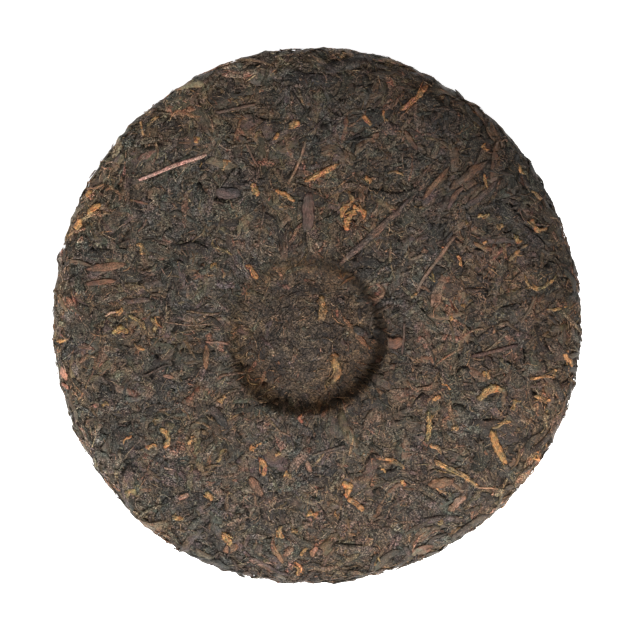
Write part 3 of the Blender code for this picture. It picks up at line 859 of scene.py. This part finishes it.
fibres["lift"] += FIBRE_PROUD
fibres["pitch"] = fibre_rng.normal(0, 0.15 * MM, FIBRE_COUNT)
fibres["bend"] = fibre_rng.normal(0, 1.0, FIBRE_COUNT)
fibres["sway"] = 0 * fibres["sway"]
fibres["tone"] = fibre_rng.beta(1.4, 1.6, FIBRE_COUNT)
fibres["heading"] = headings(fibre_u, fibre_v, BACK, fibre_rng)
fibres.update(u=fibre_u, v=fibre_v)
fibre_stuff = leaf_material("fibre", FIBRE_TONES, gold=0, edge_shade=0)
finish_piece(strips("back_fibres", fibre_shape, fibres, BACK, fibre_rng), fibre_stuff)

# The broad leaves: single leaves that lie open on the back, purple-grey to russet, where the photo has
# them. Each row is x, y, heading, length, width and bend, in millimetres and degrees, and a tone.
BROAD_SEED = 53
BROAD_CUTS = 9
BROAD_TONES = (
    (0.00, (0.030, 0.032, 0.030)),
    (0.35, (0.080, 0.062, 0.054)),
    (0.65, (0.096, 0.060, 0.036)),
    (0.85, (0.150, 0.088, 0.050)),
    (1.00, (0.190, 0.120, 0.085)),
)
BROAD_LEAVES = (
    (-2.8, 39.3, -95, 15, 5.0, 0, 0.352), (-78.6, 18.8, 7, 16, 3.4, 0, 0.77),
    (-80.5, 13.0, 6, 12, 2.4, 0, 0.704), (57.2, 53.2, 36, 18, 3.4, 0, 0.5),
    (46.9, -62.1, 10, 10, 4.0, 0, 0.85), (52.9, -69.6, 40, 9, 3.0, 0, 0.795),
    (-22.4, -63.5, -60, 9, 3.6, 0, 0.77), (-2.6, -56.0, -70, 5, 1.9, 0, 0.85),
    (-10.1, -87.8, 35, 5, 2.6, 0, 0.88), (-0.7, -87.8, 60, 4.5, 2.2, 0, 0.925),
    (-21.7, -91.9, -15, 7, 1.7, 0, 0.88), (-86.8, -15.6, 40, 5, 1.7, 0, 0.85),
    (-31.8, -86.7, 20, 6, 3.4, 0, 0.85), (-49.4, -67.2, 30, 4.5, 2.0, 0, 0.88),
    (-55.0, -22.3, -10, 4.5, 1.4, 0, 0.95), (29.7, -9.7, 10, 8, 4.0, 0, 0.704),
    (-32.8, 46.4, -5, 10, 4.5, 0, 0.2), (-94.9, -21.3, -65, 6, 2.6, 0, 1.0),
    (-41.0, -15.0, -88, 10, 2.4, 0, 0.795), (-36.2, -37.4, -50, 11, 3.5, 0, 0.1),
    (35.7, 66.2, -55, 9, 2.2, 0, 0.65), (24.8, 8.2, 60, 12, 1.6, 250, 0.795),
    (62.0, 45.5, 38, 16, 2.6, 8, 0.4), (52.0, 45.0, 55, 11, 2.0, -20, 0.55),
    (21.5, 30.7, 43, 41, 2.7, 8, 0.4), (45.0, 50.2, 51, 15.8, 2.3, 0, 0.795),
    (12.2, -2.3, -52, 6.5, 1.7, 0, 0.795), (16.7, -5.4, -25, 6, 3.0, 0, 0.2),
    (17.1, -8.5, -53, 7.5, 2.1, 0, 0.85),
)


def listed(pieces, rng, thickness, lift):
    """The lot of a table's pieces, where they lie. Thickness is a share of each width."""
    x, y, heading, length, width, bend, tone = np.array(pieces, dtype=float).T
    stretch = outline_stretch(np.arctan2(y, x))
    count = len(pieces)
    lot = leaf_sizes(count, rng, (MM, MM, MM), 0)
    lot.update(
        u=x * MM / stretch, v=y * MM / stretch, heading=np.radians(heading), bend=np.radians(bend),
        length=length * MM, width=width * MM, thickness=thickness * width * MM, tone=tone,
        lift=np.full(count, lift), sway=rng.normal(0, 0.15 * MM, count),
    )
    return lot


broad_rng = np.random.default_rng(BROAD_SEED)
broad_shape = rod(LEAF_SECTION, BROAD_CUTS)
broad = listed(BROAD_LEAVES, broad_rng, thickness=0.15, lift=0.3 * MM)
broad["edge_shade"] = broad_rng.uniform(0.6, 1, len(BROAD_LEAVES))
broad["taper"] = broad_rng.uniform(0.7, 0.95, len(BROAD_LEAVES))
broad["blunt"] = broad_rng.uniform(2, 4, len(BROAD_LEAVES))
broad_stuff = leaf_material("broad_leaf", BROAD_TONES, gold=0.2, patch=160, felting=0.5, fold=0.35)
finish_piece(strips("back_broad_leaves", broad_shape, broad, BACK, broad_rng), broad_stuff)

# The stems: straight bare twigs, pink-brown to grey, some with a paler side, pressed into the back where
# the photo has them. Their rows are as above.
STEM_SEED = 61
STEM_TONES = (
    (0.00, (0.050, 0.036, 0.030)),
    (0.40, (0.125, 0.090, 0.066)),
    (0.70, (0.225, 0.152, 0.102)),
    (1.00, (0.395, 0.240, 0.195)),
)
STEMS = (
    (-53.6, 56.2, 19.7, 27.2, 1.5, 0, 0.97), (44.7, 20.6, 55, 26, 1.5, -15, 0.5),
    (67.0, -12.7, 14, 18.2, 1.7, 0, 0.1), (-17.0, -93.6, -27, 17, 1.2, 0, 0.1),
    (-23.8, 60.5, -62, 9.7, 1.0, 0, 0.3), (-6.2, 58.0, -112, 18, 1.1, -25, 0.5),
    (64.2, -64.0, -5, 8.5, 0.7, 0, 0.6), (68.0, -9.5, 42, 12, 0.9, 35, 0.35),
    (-36.9, -9.5, -6, 9, 1.1, 0, 0.55), (-76.2, 1.5, 15, 6, 0.9, 0, 0.7),
    (-47.5, -3.0, -2, 20, 0.5, 25, 0.4), (-46.0, -4.9, 6, 15, 0.4, -30, 0.35),
    (33.0, -8.0, 85, 12, 1.0, 10, 0.2), (-60.0, -20.0, 25, 10, 1.0, 0, 0.05),
    (5.0, -50.0, 15, 13, 1.1, 6, 0.15), (-30.0, 78.0, 10, 15, 1.2, 5, 0.2),
    (80.0, 3.0, 60, 12, 1.0, 0, 0.25), (-55.0, -56.8, -10, 3.5, 0.6, 0, 0.9),
)
stem_rng = np.random.default_rng(STEM_SEED)
stem_shape = rod(ROLLED_SECTION, BROAD_CUTS)
stems = listed(STEMS, stem_rng, thickness=0.6, lift=0.32 * MM)
stems["taper"] = 0.25
stem_stuff = leaf_material(
    "stem", STEM_TONES, gold=0, edge_shade=0.6, patch=160, drift=0.2, felting=0.5, fold=0.4
)
finish_piece(strips("back_stems", stem_shape, stems, BACK, stem_rng), stem_stuff)

# The golden tips: downy young buds, curled in the rolling, golden to orange and tan. They are pressed into
# the back where the photo has them. Their rows are as above.
TIP_SEED = 71
TIP_CUTS = 11
TIP_TONES = (
    (0.00, (0.086, 0.064, 0.036)),
    (0.30, (0.180, 0.130, 0.068)),
    (0.55, (0.290, 0.175, 0.074)),
    (0.80, (0.335, 0.164, 0.063)),
    (1.00, (0.232, 0.094, 0.060)),
)
GOLDEN_TIPS = (
    (37.4, 81.8, 44, 15, 1.9, 25, 0.75), (2.2, 53.9, 27, 14.5, 1.8, 0, 0.64),
    (-22.7, 47.7, -67, 5.5, 2.3, 10, 0.75), (-11.5, 45.5, -30, 8.6, 1.3, 50, 0.65),
    (-7.9, 72.1, 20, 4.5, 2.2, 0, 0.6), (-14.6, 67.6, 60, 3, 1.2, 0, 0.6),
    (-44.4, 66.3, -80, 2.6, 1.6, 0, 0.6), (-33.9, 57.1, 42, 5, 1.4, 0, 0.4),
    (-85.2, 46.4, 60, 3, 1.5, 0, 0.6), (-83.1, 40.6, 38, 6.5, 2, 0, 0.6),
    (-89, 34.8, 60, 4.5, 2.2, 0, 0.5), (-65.3, 71.1, -75, 7, 1, 0, 0.3),
    (-61.2, 73.4, 35, 6, 0.9, 0, 0.3), (-65.3, 25.6, -55, 5, 1.6, 0, 0.4),
    (-36.2, 25.1, -45, 12.7, 0.9, 130, 0.35), (-23.9, 17.1, -50, 6.7, 1.7, 0, 0.85),
    (-38.2, 19.2, -10, 3, 1.5, 0, 0.5), (-73.4, 2, 10, 3, 2, 0, 0.4),
    (-73.2, -4.9, 5, 6.5, 2.2, 0, 0.45), (-66.5, -1.3, -40, 9, 1.2, -30, 0.35),
    (-60.5, -2.6, -75, 6.5, 1.8, 30, 0.35), (-96, -9, 5, 5.5, 1.2, 0, 0.4),
    (2.2, 3.4, -85, 10, 2.5, 20, 0.4), (8, -19.3, -92, 12.5, 2.8, -65, 0.3),
    (5, -25.6, 190, 3.5, 0.8, 0, 0.3), (13.1, 44.2, -92, 6, 1.2, 0, 0.3),
    (10.3, 39.9, -125, 5.5, 1.6, 40, 0.74), (16.8, 39.9, -50, 7, 1.7, -30, 0.74),
    (12.9, 38.0, 12, 5.5, 1.8, 0, 0.74), (11.7, 34.6, -100, 4.5, 2.1, 0, 0.74),
    (19.4, 73.6, -48, 5, 1.5, 0, 0.5), (25.8, 75.2, -65, 5, 1.1, -50, 0.3),
    (19.8, 51.5, -65, 3.5, 1.6, 0, 0.55), (30.1, 54.3, -5, 7, 0.9, -80, 0.3),
    (83, 33.7, -28, 7.5, 1.7, 0, 0.55), (69, 34, 0, 3, 1.7, 0, 0.5),
    (75, 24, 38, 12, 1.5, -25, 0.3), (84.4, 10.9, 2, 17.5, 1, 165, 0.35),
    (75.6, 29, -40, 3.5, 1.8, 0, 0.6), (54, 21.1, -70, 5, 1.2, 0, 0.7),
    (43.8, 14.6, 30, 2.2, 1.6, 0, 0.45), (36.8, 8.1, 35, 3.4, 0.8, 0, 0.3),
    (90.4, 3, 8, 8, 0.9, 0, 0.5), (64.2, -21.5, -35, 4, 1.6, 0, 0.4),
    (65, -27.1, 22, 12, 2.4, -95, 0.45), (69.5, -40.2, 200, 8, 1, 15, 0.5),
    (68.1, -48.7, -66, 14.5, 2.5, 20, 0.6), (42.3, -41, -92, 12, 1.8, 10, 0.35),
    (45.2, -49.2, -40, 6, 1.5, 40, 0.4), (52.9, -58.4, -31, 20, 1.7, 4, 0.4),
    (29.9, -53.9, -25, 9.5, 1.2, -105, 0.3), (84.7, -22.6, 3, 10, 0.9, 0, 0.4),
    (89.6, -20.8, 85, 3, 0.9, 0, 0.4), (95, -16, -75, 7.5, 1.8, 0, 0.55),
    (74.6, -32.6, 40, 5, 1.4, 0, 0.45), (85, -30.5, -15, 7, 1.4, -40, 0.4),
    (45.3, -30.3, 30, 3.4, 1.5, 0, 0.5), (52.2, -41.5, 0, 3, 1.8, 0, 0.4),
    (11.9, -63, -30, 4.5, 2, 0, 0.6), (12.1, -65.7, -100, 4.5, 1.7, 0, 0.55),
    (15.1, -70, -38, 8, 1.9, 0, 0.55), (-1.3, -73.9, -50, 3.8, 1.9, 0, 0.6),
    (7.9, -74.3, 0, 2.2, 1.4, 0, 0.5), (32.7, -62.1, -40, 3, 1.3, 0, 0.5),
    (82.8, -52.9, 50, 4.8, 1.5, 0, 0.55), (23.2, -91.9, 65, 4.5, 1.3, 0, 0.6),
    (46.9, -77, 50, 2.6, 1.3, 0, 0.5), (-55.2, -44.9, -75, 9.5, 1.7, -150, 0.5),
    (-61.6, -48.3, 10, 4.5, 1.3, 0, 0.6), (-46.3, -46, 10, 4, 2, 0, 0.4),
    (-59.8, -39.2, 60, 3, 0.9, 0, 0.4), (-19.5, -56, -78, 7.2, 1.8, 0, 0.85),
    (-10.5, -59.1, -5, 3, 1.9, 0, 0.5), (-39.7, -67, -62, 4, 1.6, 0, 0.6),
    (-69.5, -65.9, 25, 5, 2.2, 0, 0.12), (-51.6, -75.2, -20, 4.5, 1.5, 0, 0.5),
    (-33.2, -83.1, -60, 5.5, 2.2, 0, 0.7), (-13.4, -80.7, -80, 5, 1.9, 40, 0.5),
    (-8.1, -80.1, -40, 2.8, 1.2, 0, 0.4), (-6.2, -94.5, -82, 6.3, 1.5, 0, 0.75),
    (-35, -30.7, 22, 4, 1.3, 0, 0.5), (-5.7, -38.4, -65, 3, 1.2, 0, 0.95),
    (-23.8, -49, 0, 2, 1.6, 0, 0.5), (-14.1, -51.3, 20, 2.5, 1.2, 0, 0.5),
    (-78.8, -32.6, 10, 2.8, 1.2, 0, 0.45), (63.3, 63.3, -75, 3.5, 1.2, 0, 0.6),
    (63.6, 50.5, -70, 6.5, 0.9, 40, 0.7), (62.9, 37.8, 15, 5, 1.6, 0, 0.35),
    (39.1, 41, -10, 4.8, 0.9, 0, 0.3), (-4.5, -87.8, 50, 4, 1.3, 0, 0.3),
    (-18.7, -91.2, 20, 2.4, 1.3, 0, 0.3), (-35.5, -51.9, 62, 6, 1.3, 20, 0.25),
    (56.7, 35.4, -10, 3.5, 0.8, 0, 0.35), (51, -0.4, -40, 2.2, 1.2, 0, 0.5),
    (55.3, 4.3, 0, 2, 1, 0, 0.5),
)
TIP_WIDENING = 1.22
TIP_SECTION = ((1, 0), (0.7, 0.72), (0, 1), (-0.7, 0.72), (-1, 0), (0, -1))
tip_rng = np.random.default_rng(TIP_SEED)
tip_shape = rod(TIP_SECTION, TIP_CUTS)
tips = listed(GOLDEN_TIPS, tip_rng, thickness=0.5, lift=0.22 * MM)
tips["taper"] = tip_rng.uniform(0.5, 0.8, len(GOLDEN_TIPS))
tips["blunt"] = tip_rng.uniform(3, 8, len(GOLDEN_TIPS))
tips["sway"] = tip_rng.normal(0, 0.55 * MM, len(GOLDEN_TIPS))
tips["width"] *= TIP_WIDENING
tips["edge_shade"] = tip_rng.uniform(0.7, 1.1, len(GOLDEN_TIPS))
tips["wave"] = tip_rng.normal(0, 0.2 * MM, len(GOLDEN_TIPS))
tips["ragged"] = tip_rng.uniform(0.15, 0.32, len(GOLDEN_TIPS))
tip_stuff = leaf_material(
    "golden_tip", TIP_TONES, gold=0.2, edge_shade=0.75, patch=420, drift=0.45, felting=0.7, fold=0.3, wear_and_light_share=0.6
)
finish_piece(strips("back_golden_tips", tip_shape, tips, BACK, tip_rng), tip_stuff)

# The small tips: short buds strewn between the large ones by a seeded rule, and thin strands that split
# off the large ones, each along its tip but turned, shortened and narrowed a little.
SMALL_TIP_COUNT = 24
SMALL_TIP_CUTS = 6
SMALL_TIP_SIZE = (2.6 * MM, 0.8 * MM, 0.5 * MM)
SMALL_TIP_LIFT = 0.05 * MM
SMALL_TIP_PROUD = 0.15 * MM
STRANDS_PER_TIP = 2
STRAND_LIFT = 0.55 * MM


def split_strands(tips, rng):
    """The lot of the strands that split off the tips of a table."""
    rows = np.repeat(np.array(tips, dtype=float), STRANDS_PER_TIP, axis=0)
    x, y, heading, length, width, bend, tone = rows.T
    count = len(rows)
    x += rng.normal(0, 0.3, count) * width
    y += rng.normal(0, 0.3, count) * width
    heading += rng.normal(0, 14, count)
    length *= rng.uniform(0.4, 1.0, count)
    width *= rng.uniform(0.2, 0.42, count)
    bend += rng.normal(0, 25, count)
    tone += rng.normal(0, 0.15, count)
    lot = listed(rows, rng, thickness=0.7, lift=STRAND_LIFT)
    lot["twist"] = rng.normal(0, 1, count)
    return lot


small_tip_shape = rod(TIP_SECTION, SMALL_TIP_CUTS)
small_tip_u, small_tip_v = scatter(SMALL_TIP_COUNT, 0, RIM_REACH[BACK], tip_rng)
small_tips = leaf_sizes(SMALL_TIP_COUNT, tip_rng, SMALL_TIP_SIZE, SMALL_TIP_LIFT)
small_tips["lift"] += SMALL_TIP_PROUD
small_tips["ragged"] = tip_rng.uniform(0.15, 0.35, SMALL_TIP_COUNT)
small_tips["bend"] = tip_rng.normal(0, 1.2, SMALL_TIP_COUNT)
small_tips["tone"] = tip_rng.beta(1.6, 2.4, SMALL_TIP_COUNT)
small_tips["heading"] = headings(small_tip_u, small_tip_v, BACK, tip_rng)
small_tips.update(u=small_tip_u, v=small_tip_v)
strands = split_strands(GOLDEN_TIPS, tip_rng)
small_tips = {key: np.concatenate([small_tips[key], strands[key]]) for key in small_tips}
small_piece = strips("back_small_tips", small_tip_shape, small_tips, BACK, tip_rng)
finish_piece(small_piece, tip_stuff)

# The face and the lower rim: the same leaf with its tips, pressed smooth by the stone, on the side that the
# cake lies on. Each layer has a name, section, cuts, count, usual sizes in millimetres, lift and material.
FACE_PROUD = 0.2 * MM
FACE_LAYERS = (
    ("face_leaves", LEAF_SECTION, LEAF_CUTS, 1150, (9.5, 3.2, 0.38), 0.06, leaf_stuff),
    ("face_rolled_leaves", ROLLED_SECTION, LEAF_CUTS, 700, (8, 1.1, 0.48), 0.08, rolled_stuff),
    ("face_flakes", LEAF_SECTION, FLAKE_CUTS, 1700, (2.6, 1.1, 0.4), 0.08, rolled_stuff),
    ("face_fibres", FIBRE_SECTION, FIBRE_CUTS, 2600, (2.6, 0.17, 0.17), 0.07, fibre_stuff),
    ("face_golden_tips", TIP_SECTION, SMALL_TIP_CUTS, 210, (5, 1.2, 0.6), 0.05, tip_stuff),
)
for name, section, cuts, count, sizes, lift, stuff in FACE_LAYERS:
    face_rng = np.random.default_rng(count)
    face_u, face_v = scatter(count, 0, RIM_REACH[FACE], face_rng)
    lot = leaf_sizes(count, face_rng, [size * MM for size in sizes], lift * MM)
    if section in (FIBRE_SECTION, TIP_SECTION):
        lot["lift"] += FACE_PROUD
    lot["tone"] = face_rng.beta(1.4, 1.8, count)
    lot["heading"] = headings(face_u, face_v, FACE, face_rng)
    lot.update(u=face_u, v=face_v)
    finish_piece(strips(name, rod(section, cuts), lot, FACE, face_rng), stuff)

# The floor: one plain pale square that the cake lies on, painted white and a little lit from within.
FLOOR_HALF_WIDTH = 3
floor_form = bmesh.new()
bmesh.ops.create_grid(floor_form, x_segments=1, y_segments=1, size=FLOOR_HALF_WIDTH)
floor_mesh = bpy.data.meshes.new("floor")
floor_form.to_mesh(floor_mesh)
floor_form.free()
floor = bpy.data.objects.new("floor", floor_mesh)
bpy.context.scene.collection.objects.link(floor)
floor_material, tree, shader = new_material("pale_floor")
shader.inputs["Base Color"].default_value = (0.96, 0.96, 0.955, 1)
shader.inputs["Roughness"].default_value = 0.8
shader.inputs["Emission Color"].default_value = (1, 1, 1, 1)
shader.inputs["Emission Strength"].default_value = 0.9
floor_mesh.materials.append(floor_material)

# Soft studio light: a pale room that is darker far to the right, and one round panel low in front, on the
# side that lies at the photo's foot.
world = bpy.data.worlds.new("studio")
world.use_nodes = True
tree = world.node_tree
towards = put(tree, "ShaderNodeTexCoord", {}).outputs["Generated"]
dark_side = (0.8, 0.6, 0)
facing = vector_on(tree, "DOT_PRODUCT", towards, dark_side, "Value")
brightness = spread(tree, facing, -0.2, 0.8, to_low=0.6, to_high=0)
tree.links.new(brightness, tree.nodes["Background"].inputs["Strength"])
tree.nodes["Background"].inputs["Color"].default_value = (1, 1, 1, 1)
bpy.context.scene.world = world
panel_light = bpy.data.lights.new("front_panel", "AREA")
panel_light.shape = "DISK"
panel_light.size = 0.4
panel_light.color = (1, 0.98, 0.955)
panel_light.energy = 3.7
panel = bpy.data.objects.new("front_panel", panel_light)
panel.location = (0.07, -0.24, 0.30)
panel.rotation_euler = Vector(panel.location).to_track_quat("Z", "Y").to_euler()
bpy.context.scene.collection.objects.link(panel)

# The camera looks straight down on the back through a long lens, at the photo's width and place.
VIEW_WIDTH = 239.6 * MM
CAMERA_LENS = 150
CAMERA_SENSOR = 36
VIEW_CENTRE = (1.15 * MM, -1.72 * MM)
camera_data = bpy.data.cameras.new("camera")
camera_data.lens = CAMERA_LENS
camera_data.sensor_width = CAMERA_SENSOR
camera = bpy.data.objects.new("camera", camera_data)
camera.location = (*VIEW_CENTRE, MID_HEIGHT + BACK_RISE + VIEW_WIDTH * CAMERA_LENS / CAMERA_SENSOR)
bpy.context.scene.collection.objects.link(camera)
bpy.context.scene.camera = camera
bpy.context.scene.view_settings.view_transform = "Standard"
